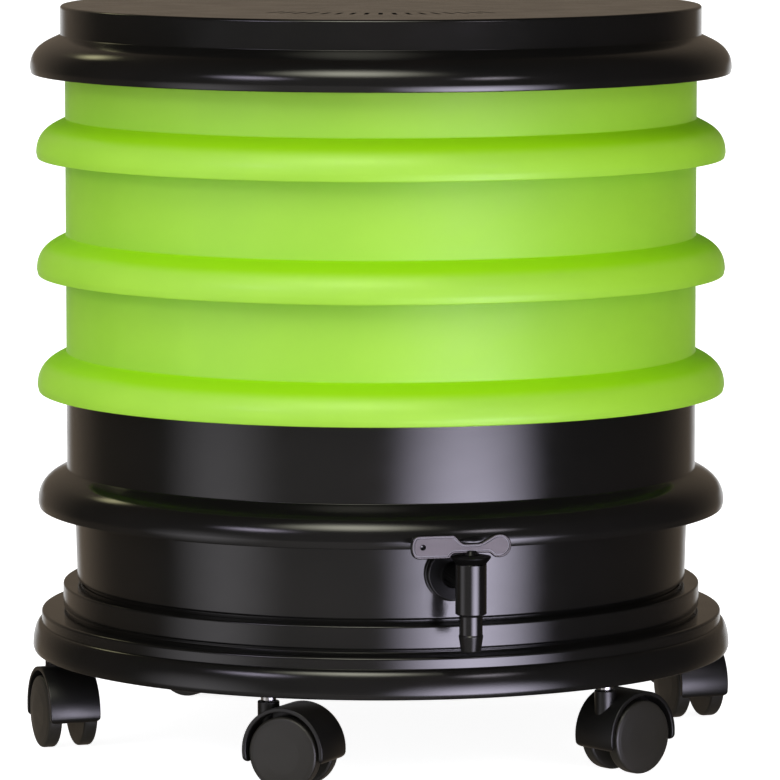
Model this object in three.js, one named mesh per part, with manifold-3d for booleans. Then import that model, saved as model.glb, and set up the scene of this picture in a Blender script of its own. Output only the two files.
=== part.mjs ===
// Round stacking wormery on castors: a lid, three perforated worm trays, a liquid
// collector with a lever tap, and a base carried by six twin-wheel castors.
// Millimetres, +Z up. The origin is on the bin's axis at floor level, and the front is -Y.

import * as THREE from 'three';
import { mergeGeometries, mergeVertices } from 'three/addons/utils/BufferGeometryUtils.js';
import Module from 'manifold-3d';

const wasm = await Module();
wasm.setup();

// Shared clearances and facet counts
const GAP = 0.3;
const ROUND_SIDES = 40;
const SMALL_SIDES = 16;
const BEAD_STEPS = 4;
const BORE_SIDES = 12;
const PIN_SIDES = 8;

// Stacking pieces: heights are measured from the lower edge of a piece's rolled bead
const PITCH = 86.3;
const BEAD_RADIUS = 255;
const BEAD_HEIGHT = 29.3;
const WALL_RADIUS = 233.5;
const WALL = 3;
const LIP = 3;
const ROLL_FOOT = 4;
const HOLLOW_RADIUS = 239;
const ROLL_FULLNESS = 0.71;
const ROLL_REACH = 0.29;
const ROLL_DROP = 0.17;
const HOLLOW_STEPS = 3;
const LIP_INNER_BEVEL = 0.2;
const LIP_OUTER_BEVEL = 1.1;
const SEAT = 23;
const NEST_RADIUS = 228.5;
const NEST_DEPTH = 14;
const RIM_HEIGHT = PITCH + SEAT - GAP;

// Height of each piece's bead above the floor
const COLLECTOR_Z = 171.9;
const BOTTOM_TRAY_Z = COLLECTOR_Z + PITCH;
const MIDDLE_TRAY_Z = BOTTOM_TRAY_Z + PITCH;
const TOP_TRAY_Z = MIDDLE_TRAY_Z + PITCH;

// Drain holes in the tray floors: [ring radius, number of holes]
const DRAIN_RINGS = [[75, 8], [155, 16]];
const DRAIN_SIZE = 10;

// Lid
const LID_Z = 493.5;
const LID_RADIUS = 259.2;
const LID_HEIGHT = 49.8;
const LID_TOP_WALL = 3.2;
const LID_DISC_RADIUS = 236.8;
const LID_FLANGE_HEIGHT = 28.2;
const LID_HOLLOW_HEIGHT = 24.6;
const LID_HOLLOW_STEPS = 5;
const LID_EDGE_ROUND = 2;

// Vent slots through the lid, on an arc near its front
const VENT_COUNT = 17;
const VENT_WIDTH = 3.2;
const VENT_LENGTH = 24;
const VENT_RADIUS = 147;
const VENT_SPREAD = 62;

// Collector
const COLLECTOR_WALL_FOOT_RADIUS = 226.2;
const COLLECTOR_WALL_FOOT_Z = 117.8;
const COLLECTOR_FOOT_RADIUS = 222.8;
const COLLECTOR_FOOT_WALL = 2.4;
const COLLECTOR_FLAT_RADIUS = 200;
const COLLECTOR_CROWN = 8;

// Base
const BASE_RADIUS = 259.4;
const BASE_EDGE_Z = 65.2;
const BASE_STEP_RADIUS = 253;
const BASE_STEP_FOOT_Z = 86.4;
const BASE_LEDGE_Z = 94.6;
const BASE_LEDGE_RISE = 0.8;
const BASE_RING_RADIUS = 236.8;
const BASE_RING_FOOT_Z = 98;
const BASE_GROOVE = 2;
const BASE_TOP_Z = 114.7;
const BASE_RECESS_RADIUS = 223.2;
const BASE_RECESS = 3;
const BASE_WALL = 3.5;
const BASE_FLANGE_WALL = 2;

// Castors: where each stem stands round the base, and which way each one trails at rest
const STEM_CIRCLE = 245;
const FIRST_STEM_ANGLE = -18.9;
const TRAIL_ANGLES = [-26, 42, 110, 111, -30, -70.5];
const TRAIL = 20;
const WHEEL_RADIUS = 26.5;
const WHEEL_INNER = 8.4;
const WHEEL_OUTER = 19;
const WHEEL_DOME = 1.2;
const WHEEL_CHAMFER = 2.5;
const AXLE_RADIUS = 2.3;
const WHEEL_BORE_RADIUS = 2.8;
const AXLE_HALF_LENGTH = 16;
const HUB_WALL = 5;
const HOOD_RADIUS = 32;
const HOOD_ABOVE_AXLE = 1.3;
const HOOD_WALL = 3;
const HOOD_HALF_WIDTH = 19;
const HOOD_TRAILING_END = 12;
const HOOD_STEM_END = 17;
const WEB_HALF_WIDTH = 5;
const BOSS_RADIUS = 7.8;
const BOSS_TOP_Z = 61;
const BOSS_BOTTOM_Z = 37;
const STEM_RADIUS = 4;
const STEM_TOP_Z = 81.5;
const STEM_BOTTOM_Z = 42;
const COLLAR_RADIUS = 5.5;
const COLLAR_HEIGHT = 5;
const SOCKET_BOSS_RADIUS = 8.8;
const SOCKET_BOSS_Z = 67;
const SOCKET_BOSS_TOP_Z = 85;
const SOCKET_NECK_RADIUS = 6.6;
const SOCKET_RADIUS = 6.2;
const SOCKET_TOP_Z = 83.2;
const SLEEVE_BORE_RADIUS = 4.6;

// Tap on the collector's wall: it is turned to the right of the front
const TAP_ANGLE = 12.8;
const TAP_Z = 150.8;
const BARREL_DISTANCE = 286;
const PAD_DISTANCE = 229.6;
const PAD_RADIUS = 20;
const PAD_DEPTH = 4;
const WALL_HOLE_RADIUS = 8.6;
const INLET_RADIUS = 8;
const INLET_END = 206;
const BORE_RADIUS = 4.5;
const GASKET_THICKNESS = 1.7;
const TAP_FLANGE_RADIUS = 19;
const TAP_FLANGE_THICKNESS = 4;
const BARREL_RADIUS = 11;
const BARREL_TOP_Z = 165.7;
const BARREL_FOOT_Z = 129.5;
const BARREL_BEVEL = 0.8;
const SPOUT_RADIUS = 8.2;
const SPOUT_FLARE = 0.4;
const SPOUT_FLARE_Z = 114.5;
const OUTLET_RADIUS = 7;
const OUTLET_Z = 103.7;
const CAVITY_RADIUS = 7.6;
const CAVITY_Z = 139;
const BONNET_RADIUS = 14.2;
const BONNET_TOP_Z = 171.8;
const PLUG_RADIUS = 7.2;
const PLUG_TOP_Z = 165.2;
const PLUG_BORE_RADIUS = 2.7;
const SEAL_Z = 158;
const SEAL_HEIGHT = 2.4;
const SEAL_THICKNESS = 1.5;
const SEAL_GROOVE = 1.8;
const SPINDLE_RADIUS = 6;
const SPINDLE_HOLE_RADIUS = 6.5;
const LEVER_THICKNESS = 5;
const LEVER_FOOT_Z = 169.8;
const LEVER_ARCH_Z = 173.2;
const LEVER_SADDLE_Z = 180.2;
const LEVER_TOP_Z = 186.6;
const LEVER_TIP = -43.2;
const LEVER_TIP_CORNER = 6.2;
const KNOB_X = 20.2;
const KNOB_Z = 178.1;
const KNOB_RADIUS = 8.4;
const NUT_RADIUS = 15;
const NUT_DISTANCE = 223.1;
const NUT_THICKNESS = 10;

// Finishes
const finish = (color, roughness, metalness = 0) =>
  new THREE.MeshStandardMaterial({ color, roughness, metalness });
const GREEN_PLASTIC = finish('#96d83c', 0.38);
const BLACK_PLASTIC = finish('#18181a', 0.28);
const TAP_PLASTIC = finish('#141415', 0.4);
const CASTOR_PLASTIC = finish('#1c1b1b', 0.42);
const BLACK_RUBBER = finish('#101010', 0.85);
const BRIGHT_STEEL = finish('#c9cbcd', 0.25, 1);

const model = new THREE.Group();

// Turn a geometry into a manifold solid, leaving out triangles that collapse on the axis
function toSolid(geometry) {
  const bare = new THREE.BufferGeometry();
  bare.setAttribute('position', geometry.getAttribute('position'));
  bare.setIndex(geometry.index);
  const merged = mergeVertices(bare, 1e-3);
  const corners = merged.index.array;
  const triangles = [];
  for (let i = 0; i < corners.length; i += 3) {
    const [a, b, c] = [corners[i], corners[i + 1], corners[i + 2]];
    if (a !== b && b !== c && c !== a) triangles.push(a, b, c);
  }
  const vertProperties = merged.getAttribute('position').array;
  const triVerts = Uint32Array.from(triangles);
  return new wasm.Manifold(new wasm.Mesh({ numProp: 3, vertProperties, triVerts }));
}

// Turn a manifold solid back into a geometry
function toGeometry(solid) {
  const { vertProperties, triVerts } = solid.getMesh();
  const geometry = new THREE.BufferGeometry();
  geometry.setAttribute('position', new THREE.BufferAttribute(vertProperties, 3));
  geometry.setIndex(new THREE.BufferAttribute(triVerts, 1));
  geometry.computeVertexNormals();
  return geometry;
}

// Add a named mesh to the scene graph
function addPiece(name, solid, material, parent = model) {
  const mesh = new THREE.Mesh(toGeometry(solid), material);
  mesh.name = name;
  parent.add(mesh);
  return mesh;
}

// Points of a quarter-ellipse, from one angle to another
function ellipse(centreR, centreZ, reach, rise, fromDeg, toDeg, steps) {
  const points = [];
  for (let i = 0; i <= steps; i++) {
    const angle = THREE.MathUtils.degToRad(fromDeg + ((toDeg - fromDeg) * i) / steps);
    points.push([centreR + reach * Math.cos(angle), centreZ + rise * Math.sin(angle)]);
  }
  return points;
}

// Points of a rolled edge, from its foot at the outer radius up and over to the wall that it meets
function rolledEdge(outerR, footZ, wallR, topZ, steps) {
  const width = outerR - wallR;
  const rise = topZ - footZ;
  const curve = new THREE.CubicBezierCurve(
    new THREE.Vector2(outerR, footZ),
    new THREE.Vector2(outerR, footZ + ROLL_FULLNESS * rise),
    new THREE.Vector2(wallR + ROLL_REACH * width, topZ - ROLL_DROP * rise),
    new THREE.Vector2(wallR, topZ),
  );
  return curve.getPoints(steps).map((point) => [point.x, point.y]);
}

// Solid of revolution about Z from a [radius, height] outline that runs anticlockwise
function turned(outline, sides = ROUND_SIDES, closed = false) {
  const points = outline.map(([r, z]) => new THREE.Vector2(r, z));
  if (closed) points.push(points[0].clone());
  return new THREE.LatheGeometry(points, sides).rotateX(Math.PI / 2);
}

// Plain cylinder standing on a height
function rod(radius, fromZ, toZ, sides = SMALL_SIDES) {
  return turned([[0, fromZ], [radius, fromZ], [radius, toZ], [0, toZ]], sides);
}

// The same cylinder lying along -Y, between two distances from the bin's axis
function radialRod(radius, fromDistance, toDistance, sides = SMALL_SIDES) {
  return rod(radius, fromDistance, toDistance, sides).rotateX(Math.PI / 2);
}

// The hollow rolled bead round a stacking piece, up to the top of its wall.
// Its open underside drips clear of the rim below and gives the fingers a hold.
function beadAndWall() {
  const hollow = rolledEdge(BEAD_RADIUS - WALL, ROLL_FOOT, HOLLOW_RADIUS, SEAT, HOLLOW_STEPS);
  return [
    [NEST_RADIUS, SEAT],
    ...hollow.reverse(),
    [BEAD_RADIUS - WALL + LIP_INNER_BEVEL, 0],
    [BEAD_RADIUS - LIP_OUTER_BEVEL, 0],
    ...rolledEdge(BEAD_RADIUS, ROLL_FOOT, WALL_RADIUS, BEAD_HEIGHT, BEAD_STEPS),
    [WALL_RADIUS, RIM_HEIGHT],
    [WALL_RADIUS - WALL, RIM_HEIGHT],
    [WALL_RADIUS - WALL, SEAT + WALL],
    [NEST_RADIUS - WALL, SEAT + WALL],
  ];
}

// Square drain holes in rings, as cutters through a floor
function drainCutters(floorZ) {
  const cutters = [];
  for (const [radius, count] of DRAIN_RINGS) {
    for (let i = 0; i < count; i++) {
      const cutter = new THREE.BoxGeometry(DRAIN_SIZE, DRAIN_SIZE, 4 * WALL);
      cutter.translate(0, -radius, floorZ);
      cutter.rotateZ((2 * Math.PI * i) / count);
      cutters.push(cutter);
    }
  }
  return toSolid(mergeGeometries(cutters));
}

// Worm tray: a perforated floor nests inside the rim of the piece below
function traySolid() {
  const floorZ = SEAT - NEST_DEPTH;
  const outline = [
    [0, floorZ],
    [NEST_RADIUS, floorZ],
    ...beadAndWall(),
    [NEST_RADIUS - WALL, floorZ + WALL],
    [0, floorZ + WALL],
  ];
  return toSolid(turned(outline)).subtract(drainCutters(floorZ));
}

// Collector: a deeper body with a domed floor, so liquid runs out to the tap. Its wall stops a
// little above the base, on a narrower foot that stands in the base's recess.
function collectorSolid() {
  const footZ = BASE_TOP_Z - BASE_RECESS + GAP - COLLECTOR_Z;
  const wallFootZ = COLLECTOR_WALL_FOOT_Z - COLLECTOR_Z;
  const outline = [
    [0, footZ + COLLECTOR_CROWN],
    [COLLECTOR_FLAT_RADIUS, footZ],
    [COLLECTOR_FOOT_RADIUS, footZ],
    [COLLECTOR_FOOT_RADIUS, wallFootZ],
    [COLLECTOR_WALL_FOOT_RADIUS, wallFootZ],
    ...beadAndWall(),
    [COLLECTOR_WALL_FOOT_RADIUS - COLLECTOR_FOOT_WALL, wallFootZ + WALL],
    [COLLECTOR_FOOT_RADIUS - WALL, footZ + WALL],
    [COLLECTOR_FLAT_RADIUS, footZ + WALL],
    [0, footZ + WALL + COLLECTOR_CROWN],
  ];
  const turn = THREE.MathUtils.degToRad(TAP_ANGLE);
  const tapHeight = TAP_Z - COLLECTOR_Z;
  const pad = radialRod(PAD_RADIUS, PAD_DISTANCE - PAD_DEPTH, PAD_DISTANCE);
  const hole = radialRod(WALL_HOLE_RADIUS, PAD_DISTANCE - PAD_RADIUS, PAD_DISTANCE + PAD_RADIUS);
  return toSolid(turned(outline))
    .add(toSolid(pad.translate(0, 0, tapHeight).rotateZ(turn)))
    .subtract(toSolid(hole.translate(0, 0, tapHeight).rotateZ(turn)));
}

// Lid: a rolled flange over the top tray's rim, under a flat raised disc with vent slots
function lidSolid() {
  const innerRadius = LID_DISC_RADIUS - WALL;
  const hollow = rolledEdge(
    LID_RADIUS - WALL, ROLL_FOOT, HOLLOW_RADIUS, LID_HOLLOW_HEIGHT, LID_HOLLOW_STEPS,
  );
  const outline = [
    [0, LID_HEIGHT - LID_TOP_WALL],
    [innerRadius, LID_HEIGHT - LID_TOP_WALL],
    [innerRadius, LID_HOLLOW_HEIGHT],
    ...hollow.reverse(),
    [LID_RADIUS - WALL + LIP_INNER_BEVEL, 0],
    [LID_RADIUS - LIP_OUTER_BEVEL, 0],
    ...rolledEdge(LID_RADIUS, ROLL_FOOT, LID_DISC_RADIUS, LID_FLANGE_HEIGHT, BEAD_STEPS),
    [LID_DISC_RADIUS, LID_HEIGHT - LID_EDGE_ROUND],
    [LID_DISC_RADIUS - LID_EDGE_ROUND, LID_HEIGHT],
    [0, LID_HEIGHT],
  ];
  const vents = [];
  for (let i = 0; i < VENT_COUNT; i++) {
    const angle = VENT_SPREAD * (i / (VENT_COUNT - 1) - 0.5);
    const vent = new THREE.BoxGeometry(VENT_WIDTH, VENT_LENGTH, 4 * LID_TOP_WALL);
    vent.translate(0, -VENT_RADIUS, LID_HEIGHT);
    vents.push(vent.rotateZ(THREE.MathUtils.degToRad(angle)));
  }
  return toSolid(turned(outline)).subtract(toSolid(mergeGeometries(vents)));
}

// Angle of each castor's stem, measured from the front towards the right
function stemAngles() {
  return TRAIL_ANGLES.map((_, i) => THREE.MathUtils.degToRad(FIRST_STEM_ANGLE + 60 * i));
}

// Base: an inverted pan with a rolled flange, a step, and a raised ring that centres the
// collector. Six bosses with narrower necks hang from its ledge and hold the castor sockets.
function baseSolid() {
  const topUnder = BASE_TOP_Z - BASE_RECESS - BASE_WALL;
  const ledgeUnder = BASE_LEDGE_Z - BASE_WALL;
  const ringUnder = BASE_RING_RADIUS - BASE_GROOVE - BASE_WALL;
  const flange = BASE_RADIUS - BASE_STEP_RADIUS;
  const flangeRise = BASE_STEP_FOOT_Z - BASE_EDGE_Z - LIP;
  const lipZ = BASE_EDGE_Z + LIP;
  const outline = [
    [0, topUnder],
    [ringUnder, topUnder],
    [ringUnder, ledgeUnder],
    [BASE_STEP_RADIUS - BASE_WALL, ledgeUnder],
    ...ellipse(BASE_STEP_RADIUS - BASE_WALL, lipZ, flange, flangeRise - BASE_FLANGE_WALL, 90, 0, 2),
    [BASE_RADIUS - BASE_WALL + LIP_INNER_BEVEL, BASE_EDGE_Z],
    [BASE_RADIUS - LIP_OUTER_BEVEL, BASE_EDGE_Z],
    ...ellipse(BASE_STEP_RADIUS, lipZ, flange, flangeRise, 0, 90, BEAD_STEPS - 1),
    [BASE_STEP_RADIUS, BASE_LEDGE_Z],
    [BASE_RING_RADIUS - BASE_GROOVE, BASE_LEDGE_Z + BASE_LEDGE_RISE],
    [BASE_RING_RADIUS - BASE_GROOVE, BASE_RING_FOOT_Z],
    [BASE_RING_RADIUS, BASE_RING_FOOT_Z],
    [BASE_RING_RADIUS, BASE_TOP_Z],
    [BASE_RECESS_RADIUS, BASE_TOP_Z],
    [BASE_RECESS_RADIUS, BASE_TOP_Z - BASE_RECESS],
    [0, BASE_TOP_Z - BASE_RECESS],
  ];
  const bosses = [];
  const bores = [];
  for (const angle of stemAngles()) {
    const boss = turned([
      [0, SOCKET_BOSS_Z],
      [SOCKET_BOSS_RADIUS, SOCKET_BOSS_Z],
      [SOCKET_BOSS_RADIUS, SOCKET_BOSS_TOP_Z],
      [SOCKET_NECK_RADIUS, SOCKET_BOSS_TOP_Z],
      [SOCKET_NECK_RADIUS, BASE_LEDGE_Z - 1],
      [0, BASE_LEDGE_Z - 1],
    ], BORE_SIDES);
    const bore = rod(SOCKET_RADIUS + GAP, SOCKET_BOSS_Z - 5, SOCKET_TOP_Z + GAP, PIN_SIDES);
    bosses.push(boss.translate(0, -STEM_CIRCLE, 0).rotateZ(angle));
    bores.push(bore.translate(0, -STEM_CIRCLE, 0).rotateZ(angle));
  }
  return toSolid(turned(outline))
    .add(toSolid(mergeGeometries(bosses)))
    .subtract(toSolid(mergeGeometries(bores)));
}

// Outline of the tap's lever seen from the front, with its pivot at x = 0
function leverShape() {
  const shape = new THREE.Shape();
  shape.moveTo(-16.5, LEVER_FOOT_Z);
  shape.bezierCurveTo(-15, LEVER_FOOT_Z, -15, LEVER_ARCH_Z, -11.5, LEVER_ARCH_Z);
  shape.lineTo(11.5, LEVER_ARCH_Z);
  shape.bezierCurveTo(15, LEVER_ARCH_Z, 15, LEVER_FOOT_Z, 18.5, LEVER_FOOT_Z);
  const knobFrom = THREE.MathUtils.degToRad(-100);
  const knobTo = THREE.MathUtils.degToRad(120);
  shape.absarc(KNOB_X, KNOB_Z, KNOB_RADIUS, knobFrom, knobTo);
  shape.bezierCurveTo(10, LEVER_SADDLE_Z + 2.3, 8, LEVER_SADDLE_Z, 4, LEVER_SADDLE_Z);
  shape.lineTo(-4, LEVER_SADDLE_Z);
  shape.bezierCurveTo(-9, LEVER_SADDLE_Z, -10, LEVER_TOP_Z, -14, LEVER_TOP_Z);
  shape.lineTo(LEVER_TIP + LEVER_TIP_CORNER, LEVER_TOP_Z);
  shape.quadraticCurveTo(LEVER_TIP, LEVER_TOP_Z, LEVER_TIP, (LEVER_TOP_Z + LEVER_FOOT_Z) / 2);
  shape.quadraticCurveTo(LEVER_TIP, LEVER_FOOT_Z, LEVER_TIP + LEVER_TIP_CORNER, LEVER_FOOT_Z);
  return shape;
}

// Tap body: flanged inlet, upright barrel with a cavity for the plug, and a tapered spout
function tapBodySolid() {
  const barrel = turned([
    [0, OUTLET_Z],
    [OUTLET_RADIUS, OUTLET_Z],
    [SPOUT_RADIUS + SPOUT_FLARE, SPOUT_FLARE_Z],
    [SPOUT_RADIUS, SPOUT_FLARE_Z + 1],
    [SPOUT_RADIUS, BARREL_FOOT_Z - BARREL_BEVEL],
    [BARREL_RADIUS, BARREL_FOOT_Z + BARREL_BEVEL],
    [BARREL_RADIUS, BARREL_TOP_Z],
    [0, BARREL_TOP_Z],
  ], SMALL_SIDES).translate(0, -BARREL_DISTANCE, 0);
  const flangeBack = PAD_DISTANCE + GASKET_THICKNESS + 2 * GAP;
  const inlet = radialRod(INLET_RADIUS, INLET_END, BARREL_DISTANCE).translate(0, 0, TAP_Z);
  const flange = radialRod(TAP_FLANGE_RADIUS, flangeBack, flangeBack + TAP_FLANGE_THICKNESS, 24);
  const cavity = rod(CAVITY_RADIUS, CAVITY_Z, BARREL_TOP_Z + 5).translate(0, -BARREL_DISTANCE, 0);
  const outlet = rod(BORE_RADIUS, OUTLET_Z - 5, CAVITY_Z + 1).translate(0, -BARREL_DISTANCE, 0);
  const inletBore = radialRod(BORE_RADIUS, INLET_END - 5, BARREL_DISTANCE - 4);
  return toSolid(barrel)
    .add(toSolid(inlet))
    .add(toSolid(flange.translate(0, 0, TAP_Z)))
    .subtract(toSolid(cavity))
    .subtract(toSolid(outlet))
    .subtract(toSolid(inletBore.translate(0, 0, TAP_Z)));
}

// Lever with its spindle and hollow plug. Closed, the plug's window is turned away from the
// inlet; a quarter turn brings it round.
function tapLeverSolid() {
  const blade = new THREE.ExtrudeGeometry(leverShape(), {
    depth: LEVER_THICKNESS,
    curveSegments: 5,
    bevelEnabled: false,
  });
  blade.rotateX(Math.PI / 2).translate(0, LEVER_THICKNESS / 2, 0);
  const plug = turned([
    [0, CAVITY_Z + GAP],
    [PLUG_RADIUS, CAVITY_Z + GAP],
    [PLUG_RADIUS, SEAL_Z - GAP],
    [PLUG_RADIUS - SEAL_GROOVE, SEAL_Z - GAP],
    [PLUG_RADIUS - SEAL_GROOVE, SEAL_Z + SEAL_HEIGHT + GAP],
    [PLUG_RADIUS, SEAL_Z + SEAL_HEIGHT + GAP],
    [PLUG_RADIUS, PLUG_TOP_Z],
    [SPINDLE_RADIUS, PLUG_TOP_Z],
    [SPINDLE_RADIUS, BONNET_TOP_Z + GAP],
    [3, BONNET_TOP_Z + 2],
    [0, BONNET_TOP_Z + 2],
  ], SMALL_SIDES);
  const axialBore = rod(PLUG_BORE_RADIUS, CAVITY_Z - 2, TAP_Z + PLUG_BORE_RADIUS, PIN_SIDES);
  const window = rod(PLUG_BORE_RADIUS, 0, 2 * PLUG_RADIUS, PIN_SIDES).rotateY(Math.PI / 2);
  return toSolid(blade)
    .add(toSolid(plug))
    .subtract(toSolid(axialBore))
    .subtract(toSolid(window.translate(0, 0, TAP_Z)));
}

// Tap: everything is built with its inlet along -Y, then turned to its place on the wall
function addTap() {
  const tap = new THREE.Group();
  tap.rotation.z = THREE.MathUtils.degToRad(TAP_ANGLE);
  model.add(tap);
  addPiece('tap_body', tapBodySolid(), TAP_PLASTIC, tap);

  const bonnet = turned([
    [SPINDLE_HOLE_RADIUS, BARREL_TOP_Z + GAP],
    [BARREL_RADIUS, BARREL_TOP_Z + GAP],
    [BONNET_RADIUS, BONNET_TOP_Z - 2],
    [BONNET_RADIUS, BONNET_TOP_Z - 1],
    [SPINDLE_HOLE_RADIUS + 2.5, BONNET_TOP_Z],
    [SPINDLE_HOLE_RADIUS, BONNET_TOP_Z],
  ], SMALL_SIDES, true);
  addPiece('tap_bonnet', toSolid(bonnet), TAP_PLASTIC, tap).position.y = -BARREL_DISTANCE;
  addPiece('tap_lever', tapLeverSolid(), TAP_PLASTIC, tap).position.y = -BARREL_DISTANCE;

  const seal = turned([
    [PLUG_RADIUS - SEAL_THICKNESS, SEAL_Z],
    [PLUG_RADIUS, SEAL_Z],
    [PLUG_RADIUS, SEAL_Z + SEAL_HEIGHT],
    [PLUG_RADIUS - SEAL_THICKNESS, SEAL_Z + SEAL_HEIGHT],
  ], SMALL_SIDES, true);
  addPiece('tap_plug_seal', toSolid(seal), BLACK_RUBBER, tap).position.y = -BARREL_DISTANCE;

  const bore = toSolid(radialRod(INLET_RADIUS + GAP + 0.1, INLET_END, BARREL_DISTANCE));
  const gasketBack = PAD_DISTANCE + GAP;
  const gasket = radialRod(TAP_FLANGE_RADIUS - 1, gasketBack, gasketBack + GASKET_THICKNESS, 24);
  addPiece('tap_gasket', toSolid(gasket).subtract(bore), BLACK_RUBBER, tap).position.z = TAP_Z;
  const nut = radialRod(NUT_RADIUS, NUT_DISTANCE - NUT_THICKNESS, NUT_DISTANCE, 6);
  addPiece('tap_nut', toSolid(nut).subtract(bore), TAP_PLASTIC, tap).position.z = TAP_Z;
}

// Flat outline of a sector that opens downwards, seen with the wheel's axle at 0, 0
function sectorShape(outerRadius, innerRadius) {
  const from = THREE.MathUtils.degToRad(-HOOD_TRAILING_END);
  const to = THREE.MathUtils.degToRad(180 + HOOD_STEM_END);
  const shape = new THREE.Shape();
  shape.absarc(0, HOOD_ABOVE_AXLE, outerRadius, from, to, false);
  shape.absarc(0, HOOD_ABOVE_AXLE, innerRadius, to, from, true);
  return shape;
}

// A shape in the wheel's plane, made solid to both sides of the castor's middle
function acrossCastor(shape, halfWidth) {
  const plate = new THREE.ExtrudeGeometry(shape, {
    depth: 2 * halfWidth,
    curveSegments: 9,
    bevelEnabled: false,
  });
  return plate.rotateX(Math.PI / 2).translate(TRAIL, halfWidth, WHEEL_RADIUS);
}

// Cylinder on the wheel's axle, out to both sides of the castor's middle
function axleRod(radius, halfLength) {
  const lying = rod(radius, -halfLength, halfLength, PIN_SIDES).rotateX(Math.PI / 2);
  return lying.translate(TRAIL, 0, WHEEL_RADIUS);
}

// Hood: a mudguard over both wheels, joined by a web that carries the axle and the stem
function hoodSolid() {
  const shell = acrossCastor(sectorShape(HOOD_RADIUS, HOOD_RADIUS - HOOD_WALL), HOOD_HALF_WIDTH);
  const web = acrossCastor(sectorShape(HOOD_RADIUS - 1, AXLE_RADIUS + 2), WEB_HALF_WIDTH);
  const hub = axleRod(AXLE_RADIUS + HUB_WALL, WEB_HALF_WIDTH);
  const boss = rod(BOSS_RADIUS, BOSS_BOTTOM_Z, BOSS_TOP_Z, BORE_SIDES);
  const axleBore = axleRod(AXLE_RADIUS + GAP, AXLE_HALF_LENGTH);
  const stemBore = rod(STEM_RADIUS + GAP, STEM_BOTTOM_Z - GAP, BOSS_TOP_Z + 5, PIN_SIDES);
  return toSolid(shell)
    .add(toSolid(web))
    .add(toSolid(hub))
    .add(toSolid(boss))
    .subtract(toSolid(axleBore))
    .subtract(toSolid(stemBore));
}

// Steel stem with the collar that takes the load under the base
function stemSolid() {
  return toSolid(turned([
    [0, STEM_BOTTOM_Z],
    [STEM_RADIUS, STEM_BOTTOM_Z],
    [STEM_RADIUS, BOSS_TOP_Z + GAP],
    [COLLAR_RADIUS, BOSS_TOP_Z + GAP],
    [COLLAR_RADIUS, BOSS_TOP_Z + GAP + COLLAR_HEIGHT],
    [STEM_RADIUS, BOSS_TOP_Z + GAP + COLLAR_HEIGHT],
    [STEM_RADIUS, STEM_TOP_Z],
    [0, STEM_TOP_Z],
  ], PIN_SIDES));
}

// Sleeve pressed into the base, in which the stem turns
function socketSolid() {
  return toSolid(turned([
    [SLEEVE_BORE_RADIUS, SOCKET_BOSS_Z],
    [SOCKET_RADIUS, SOCKET_BOSS_Z],
    [SOCKET_RADIUS, SOCKET_TOP_Z],
    [SLEEVE_BORE_RADIUS, SOCKET_TOP_Z],
  ], PIN_SIDES, true));
}

// Wheel turned about its axle, with a flat of its tread on the floor and a domed outer face
function wheelSolid(side) {
  const rimRadius = WHEEL_RADIUS / Math.cos(Math.PI / SMALL_SIDES);
  const wheel = turned([
    [0, AXLE_HALF_LENGTH + GAP],
    [WHEEL_BORE_RADIUS, AXLE_HALF_LENGTH + GAP],
    [WHEEL_BORE_RADIUS, WHEEL_INNER],
    [rimRadius, WHEEL_INNER],
    [rimRadius, WHEEL_OUTER - WHEEL_CHAMFER],
    [rimRadius - WHEEL_CHAMFER, WHEEL_OUTER],
    [0, WHEEL_OUTER + WHEEL_DOME],
  ], SMALL_SIDES);
  wheel.rotateZ(Math.PI / SMALL_SIDES).rotateX((side * Math.PI) / 2);
  return toSolid(wheel.translate(TRAIL, 0, WHEEL_RADIUS));
}

// Castors: each group stands at its stem, with +X along the trail
function addCastors() {
  const hood = hoodSolid();
  const stem = stemSolid();
  const socket = socketSolid();
  const axle = toSolid(axleRod(AXLE_RADIUS, AXLE_HALF_LENGTH));
  const wheels = { left: wheelSolid(-1), right: wheelSolid(1) };
  stemAngles().forEach((angle, i) => {
    const name = `castor_${i + 1}`;
    const place = [STEM_CIRCLE * Math.sin(angle), -STEM_CIRCLE * Math.cos(angle), 0];
    const castor = new THREE.Group();
    castor.position.set(...place);
    castor.rotation.z = THREE.MathUtils.degToRad(TRAIL_ANGLES[i]);
    model.add(castor);
    const sleeve = addPiece(`${name}_socket`, socket, CASTOR_PLASTIC);
    sleeve.position.set(...place);
    sleeve.rotation.z = angle;
    addPiece(`${name}_stem`, stem, BRIGHT_STEEL, castor);
    addPiece(`${name}_hood`, hood, CASTOR_PLASTIC, castor);
    addPiece(`${name}_axle`, axle, BRIGHT_STEEL, castor);
    addPiece(`${name}_wheel_left`, wheels.left, CASTOR_PLASTIC, castor);
    addPiece(`${name}_wheel_right`, wheels.right, CASTOR_PLASTIC, castor);
  });
}

addPiece('base', baseSolid(), BLACK_PLASTIC);
addPiece('collector', collectorSolid(), BLACK_PLASTIC).position.z = COLLECTOR_Z;
const tray = traySolid();
addPiece('tray_bottom', tray, GREEN_PLASTIC).position.z = BOTTOM_TRAY_Z;
addPiece('tray_middle', tray, GREEN_PLASTIC).position.z = MIDDLE_TRAY_Z;
addPiece('tray_top', tray, GREEN_PLASTIC).position.z = TOP_TRAY_Z;
addPiece('lid', lidSolid(), BLACK_PLASTIC).position.z = LID_Z;
addTap();
addCastors();

export default model;
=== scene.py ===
import math

import bmesh
import bpy
from mathutils import Matrix, Vector


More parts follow.
